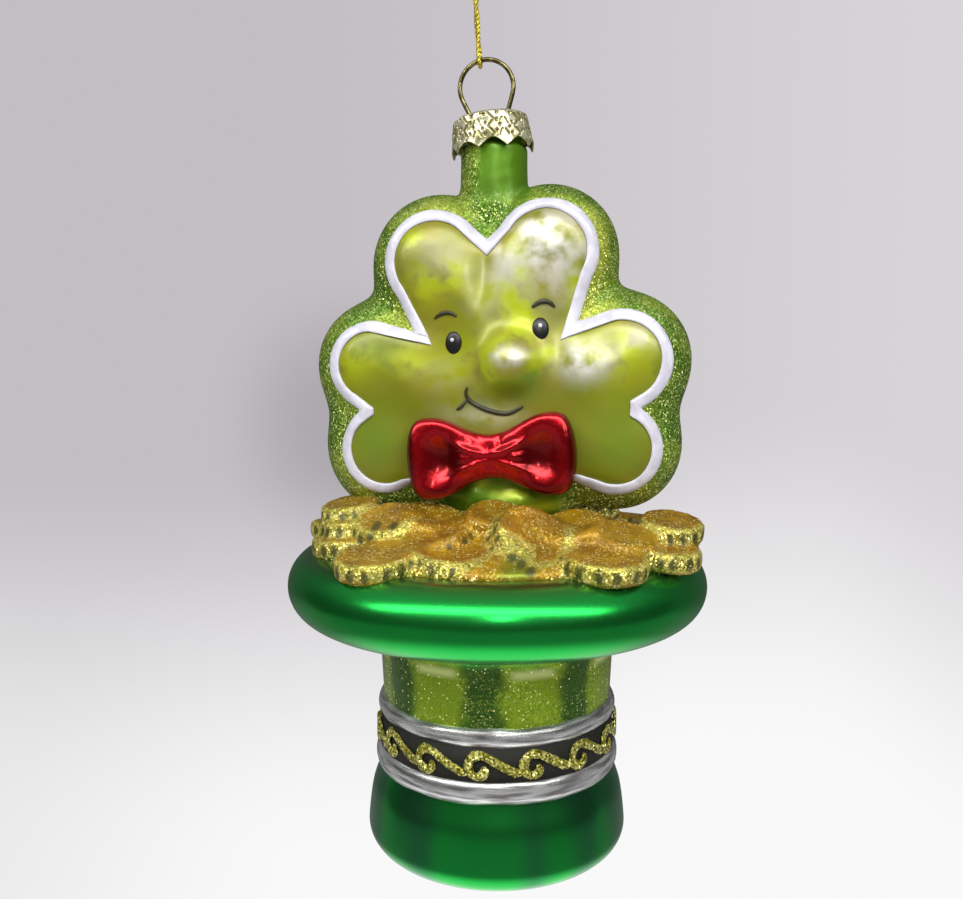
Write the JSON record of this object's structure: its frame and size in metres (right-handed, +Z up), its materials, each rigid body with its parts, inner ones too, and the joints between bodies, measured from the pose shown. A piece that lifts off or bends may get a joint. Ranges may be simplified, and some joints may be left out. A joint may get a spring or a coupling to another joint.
{
  "type": "glass shamrock ornament",
  "caption": "Blown glass ornament: a smiling shamrock in a heap of coins on an upside-down top hat, with a metal cap, a wire hanger and a hanging thread.",
  "frame": {"origin": "inside the eye of the thread, where a hook holds the ornament", "axes": "+Z up, -Y towards the face (the front), +X towards the right as the face is seen"},
  "size_m": [0.068, 0.068, 0.156],
  "materials": {
    "green_lacquered_glass": "satin metallic green lacquer over silvered glass",
    "pearl_green_glass": "satin yellow-green lacquer, glittered rim",
    "gold_glitter_glass": "gold glitter in lacquer",
    "red_chromed_glass": "transparent red lacquer over silvered glass",
    "silver_paint": "satin silver paint",
    "black_paint": "satin black paint",
    "scroll_glitter": "gold glitter glue",
    "white_enamel": "glossy white enamel line",
    "brown_paint": "brushed dark brown paint",
    "stamped_cap_metal": "embossed tinplate, champagne silver",
    "spring_wire": "antique brass plated spring wire",
    "gold_thread": "twisted metallic thread"
  },
  "bodies": {
    "thread": {"hanging_thread": "gold_thread", "thread_knot": "gold_thread"},
    "hanger": {"hanger_wire": "spring_wire"},
    "cap": {"ornament_cap": "stamped_cap_metal"},
    "glass": {"hat_shell": "green_lacquered_glass", "coin_heap": "gold_glitter_glass", "shamrock_shell": "pearl_green_glass", "neck_tube": "green_lacquered_glass", "bow_tie": "red_chromed_glass", "lower_silver_trim": "silver_paint", "upper_silver_trim": "silver_paint", "black_hat_band": "black_paint", "glitter_scroll": "scroll_glitter", "enamel_outline": "white_enamel", "left_eye": "black_paint", "left_eye_highlight": "white_enamel", "right_eye": "black_paint", "right_eye_highlight": "white_enamel", "left_eyebrow": "brown_paint", "right_eyebrow": "brown_paint", "smile_line": "brown_paint", "dimple_line": "brown_paint"}
  },
  "joints": [
    {"name": "swing", "type": "hinge", "parent": "thread", "child": "hanger", "pos_m": [0.00143, 0, -0.02095], "axis": [1, 0, 0], "range_deg": [-45, 45]},
    {"name": "ring_lift", "type": "slide", "parent": "hanger", "child": "cap", "axis": [0, 0, -1], "range_m": [0, 0.002]},
    {"name": "cap_pull", "type": "slide", "parent": "cap", "child": "glass", "axis": [0, 0, -1], "range_m": [0, 0.014]}
  ]
}
